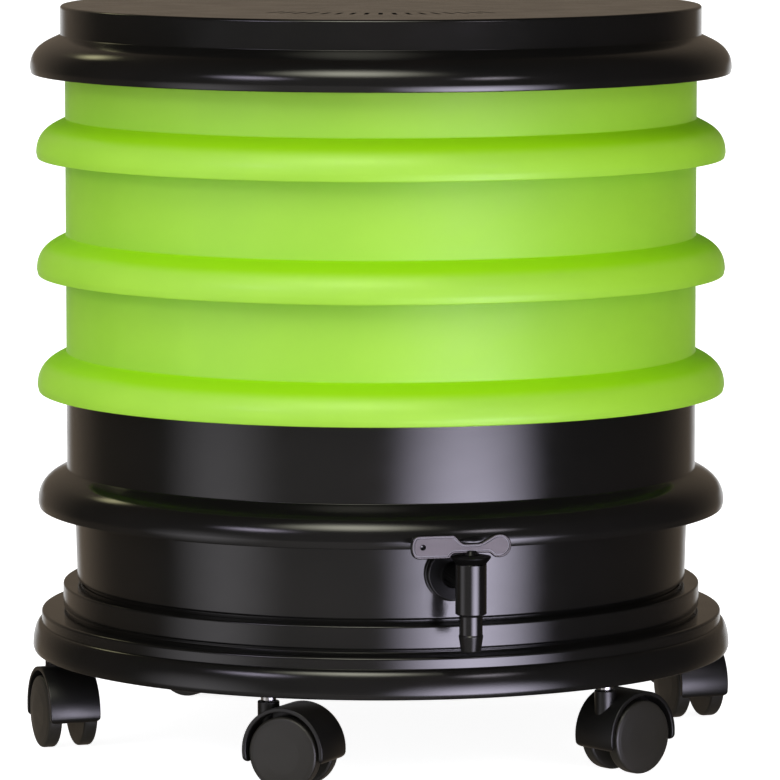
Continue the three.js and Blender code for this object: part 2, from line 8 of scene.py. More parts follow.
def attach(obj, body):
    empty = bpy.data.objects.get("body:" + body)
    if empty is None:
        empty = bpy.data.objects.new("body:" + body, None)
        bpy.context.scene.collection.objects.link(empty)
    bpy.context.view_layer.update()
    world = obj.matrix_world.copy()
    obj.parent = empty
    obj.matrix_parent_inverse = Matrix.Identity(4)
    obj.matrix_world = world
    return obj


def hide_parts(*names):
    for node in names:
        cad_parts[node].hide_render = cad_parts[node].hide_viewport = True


# Looks for the round stacking wormery. Outlines are in millimetres, as in the part's source,
# and everything is turned into metres when its mesh is made.
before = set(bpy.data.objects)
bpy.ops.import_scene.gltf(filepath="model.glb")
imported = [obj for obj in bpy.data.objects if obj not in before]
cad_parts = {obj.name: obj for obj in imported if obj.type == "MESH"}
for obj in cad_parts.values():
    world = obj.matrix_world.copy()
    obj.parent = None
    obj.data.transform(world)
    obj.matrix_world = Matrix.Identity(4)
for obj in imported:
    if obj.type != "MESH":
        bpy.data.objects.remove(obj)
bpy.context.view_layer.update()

MM = 0.001

# Steps round the large turned pieces and round the tap's
ROUND = 192
FINE = 64
# Steps of a rounded corner, and how far past its ends a point holds the shading of the flat beside it
FILLET_STEPS = 4
HOLD = 0.35
# An edge that turns by more than this is shaded as a crisp line
CRISP = math.radians(30)
# Control points of a rolled edge, as shares of its rise and of its reach
ROLL_SHOULDER = 0.71
ROLL_BROW_REACH = 0.29
ROLL_BROW_DROP = 0.17
# Plastic: height of the mould's waves in metres, and cycles of its grain to a metre
WAVE_HEIGHT = 0.00006
GRAIN_SCALE = 900

# Stacking pieces, with heights measured from the lower edge of a piece's rolled bead
PITCH = 86.3
BEAD_RADIUS = 255
BEAD_HEIGHT = 29.3
SHOULDER_Z = 20.3
WALL_RADIUS = 233.5
WALL = 3
ROLL_FOOT = 4
HOLLOW_RADIUS = 239
SEAT = 23
NEST_RADIUS = 228.5
FLOOR_Z = 9
RIM_HEIGHT = 109
COLLECTOR_Z = 171.9
TRAY_Z = {
    "tray_bottom": COLLECTOR_Z + PITCH,
    "tray_middle": COLLECTOR_Z + 2 * PITCH,
    "tray_top": COLLECTOR_Z + 3 * PITCH,
}

# Drain holes in a tray's floor: ring radius and number of holes
DRAIN_RINGS = [(30, 6), (58, 12), (86, 18), (114, 24), (142, 30), (170, 36), (198, 42)]
DRAIN_RADIUS = 3

# Lid
LID_Z = 493.5
LID_RADIUS = 259.2
LID_HEIGHT = 49.8
LID_TOP_WALL = 3.2
LID_DISC_RADIUS = 236.8
LID_FLANGE_HEIGHT = 28.2
LID_HOLLOW_HEIGHT = 24.6
VENT_COUNT = 17
VENT_WIDTH = 3.2
VENT_LENGTH = 24
VENT_RADIUS = 147
VENT_SPREAD = 62

# Collector and base
COLLECTOR_FOOT_Z = 112
COLLECTOR_FOOT_RADIUS = 222.8
COLLECTOR_WALL_FOOT_Z = 117.8
COLLECTOR_WALL_FOOT_RADIUS = 226.2
COLLECTOR_DISH_RADIUS = 200
COLLECTOR_DISH_RISE = 8
BASE_RADIUS = 259.4
BASE_EDGE_Z = 65.2
BASE_LIP_Z = 68.2
BASE_STEP_RADIUS = 253
BASE_STEP_FOOT_Z = 86.4
BASE_LEDGE_Z = 94.6
BASE_RING_RADIUS = 236.8
BASE_RING_FOOT_Z = 98
BASE_GROOVE_RADIUS = 234.8
BASE_TOP_Z = 114.7
BASE_RECESS_RADIUS = 223.2
BASE_RECESS_DEPTH = 3
BASE_BOSS_RADIUS = 8.8
BASE_BOSS_BORE_RADIUS = 6.5
BASE_BOSS_BORE_TOP_Z = 83.5
BASE_BOSS_TOP_Z = 85
BASE_BOSS_NECK_RADIUS = 6.6
BASE_BOSS_NECK_TOP_Z = 93.6
BASE_WALL = 3.5

# Tap: its own axis stands at a distance from the bin's, turned to the right of the front
TAP_TURN = math.radians(12.8)
TAP_Z = 150.8
BARREL_DISTANCE = 286
PAD_ROOT = 225
PAD_DISTANCE = 229.6
PAD_RADIUS = 20
INLET_END = 206
INLET_RADIUS = 8
# Distance from the inlet's axis within which the tap's body behind the barrel is painted darker, as shade
FLANGE_RADIUS = 19
SHADED_RADIUS = 18
BARREL_RADIUS = 11
BARREL_TOP_Z = 165.7
SPOUT_RADIUS = 8.2
BONNET_RADIUS = 14
BONNET_BORE_RADIUS = 6.5
BONNET_TOP_Z = 171.8
OUTLET_Z = 103.7
CAVITY_Z = 139
CAVITY_RADIUS = 7.6
BORE_RADIUS = 4.5
PLUG_RADIUS = 7.2
PLUG_GROOVE_RADIUS = 5.4
PLUG_BORE_RADIUS = 2.7
SPINDLE_RADIUS = 6
LEVER_THICKNESS = 5
LEVER_TOP_Z = 186.6
LEVER_UNDER_Z = 169.8
FITTING_BORE_RADIUS = 8.4
NUT_RADIUS = 15
NUT_INNER_FACE = 213.1
NUT_OUTER_FACE = 223.1
GASKET_RADIUS = 18

# Castors. The hood is a hair smaller than the CAD's, so that the whole stays inside the CAD's box
STEM_CIRCLE = 245
FIRST_STEM_ANGLE = -18.9
TRAIL_ANGLES = [-26, 42, 110, 111, -30, -70.5]
TRAIL = 20
WHEEL_RADIUS = 26.5
HOOD_RADIUS = 31.95
HOOD_WALL = 3
HOOD_HALF_WIDTH = 18.9
HOOD_ABOVE_AXLE = 1.3
HOOD_TRAILING_END = 12
HOOD_STEM_END = 17
WEB_HALF_WIDTH = 5
HUB_RADIUS = 7.3
BOSS_RADIUS = 7.8
BOSS_FOOT_Z = 37
BOSS_TOP_Z = 61
STEM_RADIUS = 4
STEM_FOOT_Z = 42
STEM_TOP_Z = 81.5
COLLAR_RADIUS = 5.5
COLLAR_FOOT_Z = 61.3
COLLAR_TOP_Z = 66.3
SOCKET_FOOT_Z = 67
SOCKET_TOP_Z = 83.2
SOCKET_BORE_RADIUS = 4.6
SOCKET_RADIUS = 6.2
AXLE_RADIUS = 2.3
AXLE_REACH = 16
WHEEL_INNER_FACE = 8.4
WHEEL_BORE_RADIUS = 2.8
WHEEL_BORE_END = 16.3

# Studio, in metres
CAMERA_PLACE = (0.00672, -4.39603, 0.7496)
CAMERA_TILT = 0.11171
# Lamps round the object: name, angle from the front towards the right in degrees, distance, height, size,
# radiance, colour, and the height of the point that the lamp faces
LAMPS = [
    ("key_right", 29.8, 1.7, -0.15, (2.1, 1.0), 11.0, (0.97, 0.92, 1.15), -0.15),
    ("low_front", 28, 1.75, -0.5, (2.2, 0.5), 4.0, (0.97, 0.93, 1.12), -0.5),
    ("fill_left", -57, 1.7, -0.1, (1.7, 1.3), 1.2, (1, 0.97, 1.03), -0.1),
    ("top_front", -11, 3.5, 4.4, (4.4, 4.4), 3.0, (1, 0.99, 0.84), 0.3),
    ("top_sheen", -11, 3.5, 3.9, (5.6, 3.2), 4.6, (1, 0.99, 0.80), 0.3),
    ("far_left", -137, 3.2, 2.6, (1.3, 1.0), 3.5, (1, 0.95, 0.55), 0.3),
    ("spot_left", -43, 3.4, 1.8, (2.2, 1.1), 6.5, (0.98, 0.9, 1.15), 0.3),
    ("spot_right", 36, 3.4, 1.8, (1.6, 0.9), 6.0, (1, 0.93, 1.05), 0.3),
]
GLOSS_ONLY = ("top_sheen", "far_left")
FLOOR_RADIUS = 40
# What the floor adds to its own light for the camera, so that it reads as white
FLOOR_GLOW = 0.92


# Node trees

def add_node(tree, kind, inputs=None, **settings):
    """Adds a node, with its settings, and its inputs set or linked."""
    made = tree.nodes.new(kind)
    for key, value in settings.items():
        setattr(made, key, value)
    for key, value in (inputs or {}).items():
        if isinstance(value, bpy.types.NodeSocket):
            tree.links.new(value, made.inputs[key])
        else:
            made.inputs[key].default_value = value
    return made


def new_tree(name):
    material = bpy.data.materials.new(name)
    material.use_nodes = True
    material.node_tree.nodes.clear()
    return material, material.node_tree


def linear(red, green, blue):
    """A colour written as 0-255 screen values, as the linear colour that a socket takes."""
    def channel(value):
        value /= 255
        return value / 12.92 if value < 0.04045 else ((value + 0.055) / 1.055) ** 2.4
    return (channel(red), channel(green), channel(blue), 1)


def noise(tree, place, scale, detail, stretch=None):
    """Noise in the piece's own space, in cycles per metre, stretched along an axis if asked."""
    if stretch:
        place = add_node(tree, "ShaderNodeMapping", {"Vector": place, "Scale": stretch}).outputs["Vector"]
    return add_node(tree, "ShaderNodeTexNoise", {
        "Vector": place, "Scale": scale, "Detail": detail,
    }).outputs["Fac"]


def spread(tree, value, low, high, source=(0.3, 0.7), **settings):
    """A value spread from low to high. Its own range is that of a noise if no other is given."""
    return add_node(tree, "ShaderNodeMapRange", {
        "Value": value, "From Min": source[0], "From Max": source[1], "To Min": low, "To Max": high,
    }, **settings).outputs["Result"]


def eased(tree, value, low, high, source):
    """A value spread from low to high with a soft start and end."""
    return spread(tree, value, low, high, source, interpolation_type="SMOOTHSTEP")


def worked_out(tree, operation, *values):
    """What a Math node makes of one or more values."""
    return add_node(tree, "ShaderNodeMath", dict(enumerate(values)), operation=operation).outputs["Value"]


def mixed(tree, factor, first, second):
    """Two colours, mixed by a factor."""
    return add_node(tree, "ShaderNodeMix", {"Factor": factor, 6: first, 7: second},
                    data_type="RGBA").outputs[2]


def bumped(tree, height, distance, **under):
    """A normal that a height of so many metres bends, on top of another one if it is given."""
    return add_node(tree, "ShaderNodeBump", {
        "Height": height, "Distance": distance, "Strength": 1.0, **under,
    }).outputs["Normal"]


def show(tree, shader, kind="ShaderNodeOutputMaterial"):
    """Links a shader to the output of its tree."""
    tree.links.new(shader, add_node(tree, kind).inputs["Surface"])


def plastic(name, dark, light, roughness, grain=0.00002, **shader):
    """Moulded plastic: cloudy colour, uneven gloss, a fine grain and the slow waves of the mould."""
    material, tree = new_tree(name)
    place = add_node(tree, "ShaderNodeTexCoord").outputs["Object"]
    waves = bumped(tree, noise(tree, place, 26, 1), WAVE_HEIGHT)
    cloud = spread(tree, noise(tree, place, 14, 4), 0, 1)
    surface = add_node(tree, "ShaderNodeBsdfPrincipled", {
        "Base Color": mixed(tree, cloud, linear(*dark), linear(*light)),
        "Roughness": spread(tree, noise(tree, place, 30, 3, (1, 1, 2)), *roughness),
        "Normal": bumped(tree, noise(tree, place, GRAIN_SCALE, 3), grain, Normal=waves),
        **shader,
    })
    show(tree, surface.outputs["BSDF"])
    return material


def paint_shoulder_shade(material, shade_colour, specular):
    """Paints shade on a tray's plastic: a deeper and duller colour on the shoulder of its bead, where it
    faces up, outside only and with soft edges. The specular level changes over the surface, so it is linked."""
    tree = material.node_tree
    surface = next(node for node in tree.nodes if node.type == "BSDF_PRINCIPLED")
    place = add_node(tree, "ShaderNodeTexCoord").outputs["Object"]
    height = add_node(tree, "ShaderNodeSeparateXYZ", {"Vector": place}).outputs["Z"]
    flat = add_node(tree, "ShaderNodeVectorMath", {0: place, 1: (1, 1, 0)}, operation="MULTIPLY")
    radius = add_node(tree, "ShaderNodeVectorMath", {0: flat.outputs["Vector"]}, operation="LENGTH")
    outside = worked_out(tree, "GREATER_THAN", radius.outputs["Value"], (WALL_RADIUS - 1) * MM)
    # The painted shade covers the shoulder, from just above the brow up to the wall
    above_brow = eased(tree, height, 0, 1, ((SHOULDER_Z - 3) * MM, (SHOULDER_Z + 3) * MM))
    below_wall = eased(tree, height, 1, 0, ((BEAD_HEIGHT - 0.5) * MM, (BEAD_HEIGHT + 1) * MM))
    band = worked_out(tree, "MULTIPLY", above_brow, below_wall)
    share = worked_out(tree, "MULTIPLY", band, outside)
    colour = mixed(tree, share, surface.inputs["Base Color"].links[0].from_socket, linear(*shade_colour))
    tree.links.new(colour, surface.inputs["Base Color"])
    for socket, there in (("Specular IOR Level", specular), ("Coat Weight", 0)):
        elsewhere = surface.inputs[socket].default_value
        tree.links.new(spread(tree, share, elsewhere, there, (0, 1)), surface.inputs[socket])


def steel(name):
    """Bright plated steel with fine turning marks."""
    material, tree = new_tree(name)
    place = add_node(tree, "ShaderNodeTexCoord").outputs["Object"]
    marks = noise(tree, place, 300, 3, (1, 1, 9))
    cloud = spread(tree, noise(tree, place, 90, 4), 0, 1)
    surface = add_node(tree, "ShaderNodeBsdfPrincipled", {
        "Base Color": mixed(tree, cloud, linear(176, 176, 178), linear(214, 213, 210)),
        "Roughness": spread(tree, marks, 0.18, 0.34),
        "Normal": bumped(tree, marks, 0.00002),
        "Metallic": 1.0,
    })
    show(tree, surface.outputs["BSDF"])
    return material


GREEN = plastic("green_polypropylene", (153, 213, 32), (159, 218, 38), (0.50, 0.58),
                **{"Specular IOR Level": 0.85, "Coat Weight": 0.12, "Coat Roughness": 0.16})
# A deeper green with less sheen, painted as shade on each bead's upward-facing shoulder
paint_shoulder_shade(GREEN, (149, 214, 6), 0.2)
BLACK = plastic("black_polypropylene", (11, 11, 10), (15, 14, 13), (0.13, 0.18))
TAP_BLACK = plastic("tap_black", (9, 9, 9), (14, 13, 13), (0.13, 0.17), grain=0.00001)
# A darker, duller copy of the tap's black: painted shade behind the barrel and on the bonnet
TAP_PAINTED_SHADE = plastic("tap_black_painted_shade", (3, 3, 3), (5, 5, 5), (0.40, 0.50), **{"Specular IOR Level": 0.15})
# Dark lever plastic painted a lighter grey: a painted sheen of the key light on its flat faces
LEVER_PAINTED_SHEEN = plastic("lever_painted_sheen", (84, 77, 83), (93, 86, 92), (0.40, 0.48), grain=0.00005)
CASTOR_BLACK = plastic("castor_nylon", (8, 8, 7), (13, 12, 11), (0.30, 0.38), grain=0.00003)
WHEEL_BLACK = plastic("wheel_nylon", (26, 25, 21), (35, 33, 28), (0.36, 0.46), grain=0.00004)
RUBBER = plastic("black_rubber", (9, 9, 9), (15, 15, 15), (0.7, 0.85), grain=0.00006)
STEEL = steel("plated_steel")


# Outlines

def ellipse(centre_r, centre_z, reach, rise, start, end, steps):
    """Points of an arc of an ellipse, from one angle to another, in degrees."""
    points = []
    for i in range(steps + 1):
        angle = math.radians(start + (end - start) * i / steps)
        points.append((centre_r + reach * math.cos(angle), centre_z + rise * math.sin(angle)))
    return points


def bezier(points, steps):
    """Points of a Bezier curve after its first."""
    out = []
    for i in range(1, steps + 1):
        t = i / steps
        line = [Vector(p) for p in points]
        while len(line) > 1:
            line = [a.lerp(b, t) for a, b in zip(line, line[1:])]
        out.append(tuple(line[0]))
    return out


def rolled_edge(outer, wall, top, steps):
    """A rolled edge, from its foot at the outer radius up and over to the wall that it meets."""
    foot = (outer, ROLL_FOOT)
    rise = top - ROLL_FOOT
    shoulder = (outer, ROLL_FOOT + ROLL_SHOULDER * rise)
    brow = (wall + ROLL_BROW_REACH * (outer - wall), top - ROLL_BROW_DROP * rise)
    return [foot, *bezier([foot, shoulder, brow, (wall, top)], steps)]


def hollow_roll(outer, hollow_top, wall, top):
    """A hollow rolled rim: down its inside, round its lower edge, and up and over to the wall."""
    return [
        *rolled_edge(outer - WALL, HOLLOW_RADIUS, hollow_top, 12)[::-1],
        (outer - WALL + 0.2, 0, 0.6),
        (outer - 0.9, 0, 0.7),
        *rolled_edge(outer, wall, top, 28)[:-1],
        (wall, top, 0.8),
    ]


def filleted(points, closed=False):
    """Rounds each (x, y, radius) corner of an outline with an arc; an (x, y) corner stays as it is.
    A point is added just past each end of an arc, so that the shading of the flat beside it stays flat."""
    out = []
    count = len(points)
    for i, point in enumerate(points):
        if len(point) < 3 or (not closed and i in (0, count - 1)):
            out.append((point[0], point[1]))
            continue
        corner = Vector(point[:2])
        before = Vector(points[i - 1][:2]) - corner
        after = Vector(points[(i + 1) % count][:2]) - corner
        half = before.angle(after) / 2
        reach = min(point[2] / math.tan(half), 0.4 * before.length, 0.4 * after.length)
        radius = reach * math.tan(half)
        before_unit = before.normalized()
        after_unit = after.normalized()
        centre = corner + (before_unit + after_unit).normalized() * (radius / math.sin(half))
        start = corner + before_unit * reach - centre
        end = corner + after_unit * reach - centre
        turn = start.angle_signed(end)
        if before.length - reach > 3 * HOLD:
            out.append(tuple(corner + before_unit * (reach + HOLD)))
        for k in range(FILLET_STEPS + 1):
            out.append(tuple(centre + Matrix.Rotation(-turn * k / FILLET_STEPS, 2) @ start))
        if after.length - reach > 3 * HOLD:
            out.append(tuple(corner + after_unit * (reach + HOLD)))
    return out


# Meshes

def lathe(outline, segments=ROUND, closed=False):
    """A bmesh turned about Z from a [radius, height] outline."""
    bm = bmesh.new()
    rings = []
    for radius, height in outline:
        if radius < 1e-6:
            rings.append([bm.verts.new((0, 0, height))])
            continue
        turn = [2 * math.pi * k / segments for k in range(segments)]
        rings.append([bm.verts.new((radius * math.cos(t), radius * math.sin(t), height)) for t in turn])
    following = rings[1:] + rings[:1] if closed else rings[1:]
    for ring, above in zip(rings, following):
        for k in range(segments):
            corners = [ring[k % len(ring)], ring[(k + 1) % segments % len(ring)],
                       above[(k + 1) % segments % len(above)], above[k % len(above)]]
            corners = list(dict.fromkeys(corners))
            if len(corners) > 2:
                bm.faces.new(corners)
    bmesh.ops.recalc_face_normals(bm, faces=bm.faces)
    return bm


def rod(radius, low, high, segments=FINE):
    """A plain round bar on Z, to add or to cut with."""
    return lathe([(0, low), (radius, low), (radius, high), (0, high)], segments)


def skinned(sections):
    """A closed bmesh over a row of sections, each a closed line of as many points, capped at both ends."""
    bm = bmesh.new()
    rings = [[bm.verts.new(point) for point in section] for section in sections]
    for ring, following in zip(rings, rings[1:]):
        for k in range(len(ring)):
            after = (k + 1) % len(ring)
            bm.faces.new((ring[k], ring[after], following[after], following[k]))
    bm.faces.new(rings[0][::-1])
    bm.faces.new(rings[-1])
    bmesh.ops.recalc_face_normals(bm, faces=bm.faces)
    return bm


def moved(bm, matrix):
    bmesh.ops.transform(bm, matrix=matrix, verts=bm.verts)
    return bm


def lying(bm, height=0.0):
    """Lays a piece that stands on Z along -Y, at a height: its z becomes the distance from the axis."""
    return moved(bm, Matrix.Translation((0, 0, height)) @ Matrix.Rotation(math.pi / 2, 4, "X"))


def joined(*parts):
    """One bmesh with all the shells of several, which may lie in one another."""
    whole = bmesh.new()
    for part in parts:
        mesh = bpy.data.meshes.new("part")
        part.to_mesh(mesh)
        part.free()
        whole.from_mesh(mesh)
        bpy.data.meshes.remove(mesh)
    return whole


def combined(bm, other, operation):
    """The exact union, difference or intersection of two closed bmeshes."""
    objects = []
    for part in (bm, other):
        mesh = bpy.data.meshes.new("part")
        part.to_mesh(mesh)
        part.free()
        objects.append(bpy.data.objects.new("part", mesh))
        bpy.context.scene.collection.objects.link(objects[-1])
    modifier = objects[0].modifiers.new("cut", "BOOLEAN")
    modifier.operation = operation
    modifier.solver = "EXACT"
    modifier.object = objects[1]
    result = bmesh.new()
    result.from_object(objects[0], bpy.context.evaluated_depsgraph_get())
    for part in objects:
        mesh = part.data
        bpy.data.objects.remove(part)
        bpy.data.meshes.remove(mesh)
    return result


def finished_mesh(name, bm, material):
    """A smooth-shaded mesh in metres, with a crisp line where the surface turns sharply."""
    bmesh.ops.recalc_face_normals(bm, faces=bm.faces)
    for face in bm.faces:
        face.smooth = True
    for edge in bm.edges:
        if len(edge.link_faces) == 2 and edge.calc_face_angle() > CRISP:
            edge.smooth = False
    bmesh.ops.scale(bm, vec=(MM, MM, MM), verts=bm.verts)
    mesh = bpy.data.meshes.new(name)
    bm.to_mesh(mesh)
    bm.free()
    mesh.materials.append(material)
    return mesh


def put(mesh, matrix):
    """Puts a mesh in its place, so that its object can stay at the origin."""
    mesh.transform(matrix)
    return mesh


def place_piece(name, mesh, node, body, matrix=None):
    """Adds a piece that stands for one CAD node and moves with a body."""
    piece = bpy.data.objects.new(name, mesh)
    bpy.context.scene.collection.objects.link(piece)
    if matrix:
        piece.matrix_world = matrix
    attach(piece, body)
    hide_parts(node)


def in_metres(x, y, z, turn=0.0):
    """A place given in millimetres, with a turn about Z."""
    return Matrix.Translation((x * MM, y * MM, z * MM)) @ Matrix.Rotation(turn, 4, "Z")


# Stacking pieces

def bead_and_wall():
    """The rolled bead round a stacking piece and the wall above it, inside and out."""
    return [
        (NEST_RADIUS, SEAT, 0.8),
        *hollow_roll(BEAD_RADIUS, SEAT, WALL_RADIUS, BEAD_HEIGHT),
        (WALL_RADIUS, RIM_HEIGHT, 1),
        (WALL_RADIUS - WALL, RIM_HEIGHT, 1),
        (WALL_RADIUS - WALL, SEAT + WALL, 1),
        (NEST_RADIUS - WALL, SEAT + WALL, 1),
    ]


def drain_cutters():
    cutters = []
    for radius, count in DRAIN_RINGS:
        for i in range(count):
            pin = rod(DRAIN_RADIUS, FLOOR_Z - 6, FLOOR_Z + 9, segments=12)
            turn = Matrix.Rotation(2 * math.pi * i / count, 4, "Z")
            cutters.append(moved(pin, turn @ Matrix.Translation((0, -radius, 0))))
    return joined(*cutters)


def tray_mesh():
    outline = filleted([
        (0, FLOOR_Z),
        (NEST_RADIUS, FLOOR_Z, 2),
        *bead_and_wall(),
        (NEST_RADIUS - WALL, FLOOR_Z + WALL, 3),
        (0, FLOOR_Z + WALL),
    ])
    return finished_mesh("tray", combined(lathe(outline), drain_cutters(), "DIFFERENCE"), GREEN)


def collector_mesh():
    foot = COLLECTOR_FOOT_Z - COLLECTOR_Z
    wall_foot = COLLECTOR_WALL_FOOT_Z - COLLECTOR_Z
    outline = filleted([
        (0, foot + COLLECTOR_DISH_RISE),
        (COLLECTOR_DISH_RADIUS, foot, 12),
        (COLLECTOR_FOOT_RADIUS, foot, 1.5),
        (COLLECTOR_FOOT_RADIUS, wall_foot, 0.5),
        (COLLECTOR_WALL_FOOT_RADIUS, wall_foot, 1.2),
        *bead_and_wall(),
        (COLLECTOR_WALL_FOOT_RADIUS - 2.4, wall_foot + WALL, 2),
        (COLLECTOR_FOOT_RADIUS - WALL, foot + WALL, 3),
        (COLLECTOR_DISH_RADIUS, foot + WALL, 12),
        (0, foot + WALL + COLLECTOR_DISH_RISE),
    ])
    pad = lathe(filleted([
        (0, PAD_ROOT), (PAD_RADIUS, PAD_ROOT), (PAD_RADIUS, PAD_DISTANCE, 0.8), (0, PAD_DISTANCE),
    ]), FINE)
    hole = rod(INLET_RADIUS + 0.6, PAD_ROOT - 15, PAD_ROOT + 15)
    turn = Matrix.Rotation(TAP_TURN, 4, "Z")
    body = combined(lathe(outline), moved(lying(pad, TAP_Z - COLLECTOR_Z), turn), "UNION")
    body = combined(body, moved(lying(hole, TAP_Z - COLLECTOR_Z), turn), "DIFFERENCE")
    return finished_mesh("collector", body, BLACK)


def vent_cutter():
    """A slot with round ends, through the lid's top at the front."""
    straight = (VENT_LENGTH - VENT_WIDTH) / 2
    outline = []
    for k in range(16):
        angle = math.pi * (k + 0.5) / 8
        x, y = VENT_WIDTH / 2 * math.cos(angle), VENT_WIDTH / 2 * math.sin(angle)
        outline.append((x, y - VENT_RADIUS + math.copysign(straight, y)))
    return skinned([[(x, y, LID_HEIGHT + end) for x, y in outline] for end in (-8, 4)])


def lid_mesh():
    inner = LID_DISC_RADIUS - WALL
    outline = filleted([
        (0, LID_HEIGHT - LID_TOP_WALL),
        (inner, LID_HEIGHT - LID_TOP_WALL, 1.5),
        (inner, LID_HOLLOW_HEIGHT, 0.5),
        *hollow_roll(LID_RADIUS, LID_HOLLOW_HEIGHT, LID_DISC_RADIUS, LID_FLANGE_HEIGHT),
        (LID_DISC_RADIUS, LID_HEIGHT, 2),
        (0, LID_HEIGHT),
    ])
    vents = []
    for i in range(VENT_COUNT):
        angle = math.radians(VENT_SPREAD * (i / (VENT_COUNT - 1) - 0.5))
        vents.append(moved(vent_cutter(), Matrix.Rotation(angle, 4, "Z")))
    return finished_mesh("lid", combined(lathe(outline), joined(*vents), "DIFFERENCE"), BLACK)


def stem_angles():
    """Where each castor's stem stands: its angle from the front towards the right."""
    return [math.radians(FIRST_STEM_ANGLE + 60 * i) for i in range(6)]


def base_mesh():
    plate_top = BASE_TOP_Z - BASE_RECESS_DEPTH
    plate_under = plate_top - BASE_WALL
    ring_under = BASE_GROOVE_RADIUS - BASE_WALL
    flange = BASE_RADIUS - BASE_STEP_RADIUS
    rise = BASE_STEP_FOOT_Z - BASE_LIP_Z
    outline = filleted([
        (0, plate_under),
        (ring_under, plate_under, 1.5),
        (ring_under, BASE_LEDGE_Z - BASE_WALL, 1.5),
        (BASE_STEP_RADIUS - BASE_WALL, BASE_LEDGE_Z - BASE_WALL, 1),
        *ellipse(BASE_STEP_RADIUS - BASE_WALL, BASE_LIP_Z, flange, rise - 2, 90, 0, 8),
        (BASE_RADIUS - 3.3, BASE_EDGE_Z, 0.6),
        (BASE_RADIUS - 0.9, BASE_EDGE_Z, 0.8),
        *ellipse(BASE_STEP_RADIUS, BASE_LIP_Z, flange, rise, 0, 90, 24)[:-1],
        (BASE_STEP_RADIUS, BASE_STEP_FOOT_Z, 0.5),
        (BASE_STEP_RADIUS, BASE_LEDGE_Z, 1.7),
        (BASE_GROOVE_RADIUS, BASE_LEDGE_Z + 0.8, 0.4),
        (BASE_GROOVE_RADIUS, BASE_RING_FOOT_Z, 0.4),
        (BASE_RING_RADIUS, BASE_RING_FOOT_Z, 0.8),
        (BASE_RING_RADIUS, BASE_TOP_Z, 1.2),
        (BASE_RECESS_RADIUS, BASE_TOP_Z, 0.8),
        (BASE_RECESS_RADIUS, plate_top, 0.4),
        (0, plate_top),
    ])
    boss = filleted([
        (0, BASE_BOSS_BORE_TOP_Z),
        (BASE_BOSS_BORE_RADIUS, BASE_BOSS_BORE_TOP_Z),
        (BASE_BOSS_BORE_RADIUS, SOCKET_FOOT_Z, 0.4),
        (BASE_BOSS_RADIUS, SOCKET_FOOT_Z, 0.6),
        (BASE_BOSS_RADIUS, BASE_BOSS_TOP_Z, 0.8),
        (BASE_BOSS_NECK_RADIUS, BASE_BOSS_TOP_Z, 0.3),
        (BASE_BOSS_NECK_RADIUS, BASE_BOSS_NECK_TOP_Z),
        (0, BASE_BOSS_NECK_TOP_Z),
    ])
    shells = [lathe(outline)]
    for angle in stem_angles():
        place = Matrix.Rotation(angle, 4, "Z") @ Matrix.Translation((0, -STEM_CIRCLE, 0))
        shells.append(moved(lathe(boss, segments=32), place))
    return finished_mesh("base", joined(*shells), BLACK)


# Tap

def tap_body_mesh():
    barrel = lathe(filleted([
        (0, OUTLET_Z),
        (7, OUTLET_Z, 0.6),
        (8.7, 114.5, 0.4),
        (SPOUT_RADIUS, 115.5, 0.4),
        (SPOUT_RADIUS, 128.7, 0.4),
        (BARREL_RADIUS, 130.3, 0.5),
        (BARREL_RADIUS, BARREL_TOP_Z, 0.5),
        (0, BARREL_TOP_Z),
    ]), FINE)
    back = PAD_DISTANCE + 2.3
    flange = lying(lathe(filleted([
        (0, back), (FLANGE_RADIUS, back, 0.5), (FLANGE_RADIUS, back + 4, 1), (9.4, back + 4, 1.2),
        (INLET_RADIUS, back + 7), (0, back + 7),
    ]), FINE), TAP_Z)
    inlet = lying(lathe(filleted([
        (0, INLET_END), (INLET_RADIUS, INLET_END, 0.8), (INLET_RADIUS, BARREL_DISTANCE), (0, BARREL_DISTANCE),
    ]), FINE), TAP_Z)
    body = combined(moved(barrel, Matrix.Translation((0, -BARREL_DISTANCE, 0))), inlet, "UNION")
    body = combined(body, flange, "UNION")
    cavity = rod(CAVITY_RADIUS, CAVITY_Z, BONNET_TOP_Z + 0.2)
    outlet = rod(BORE_RADIUS, OUTLET_Z - 5, CAVITY_Z + 1, segments=32)
    bores = moved(combined(cavity, outlet, "UNION"), Matrix.Translation((0, -BARREL_DISTANCE, 0)))
    body = combined(body, bores, "DIFFERENCE")
    way_in = lying(rod(BORE_RADIUS, INLET_END - 5, BARREL_DISTANCE - 4, segments=32), TAP_Z)
    mesh = finished_mesh("tap_body", combined(body, way_in, "DIFFERENCE"), TAP_BLACK)
    mesh.materials.append(TAP_PAINTED_SHADE)
    # Behind the barrel the inlet and the flange are painted darker and duller, as the barrel's shade, except
    # the flange's rim
    for face in mesh.polygons:
        off_axis = math.hypot(face.center.x, face.center.z - TAP_Z * MM)
        if face.center.y > (BARREL_RADIUS + 1 - BARREL_DISTANCE) * MM and off_axis < SHADED_RADIUS * MM:
            face.material_index = 1
    return mesh


def tap_bonnet_mesh():
    outline = filleted([
        (BONNET_BORE_RADIUS, BARREL_TOP_Z + 0.3),
        (BARREL_RADIUS, BARREL_TOP_Z + 0.3, 0.4),
        (BONNET_RADIUS, BONNET_TOP_Z - 2, 0.4),
        (BONNET_RADIUS, BONNET_TOP_Z - 1, 0.4),
        (9, BONNET_TOP_Z, 0.4),
        (BONNET_BORE_RADIUS, BONNET_TOP_Z),
    ], closed=True)
    # The bonnet takes the darker copy of the tap's black, as painted shade
    return finished_mesh("tap_bonnet", lathe(outline, FINE, True), TAP_PAINTED_SHADE)


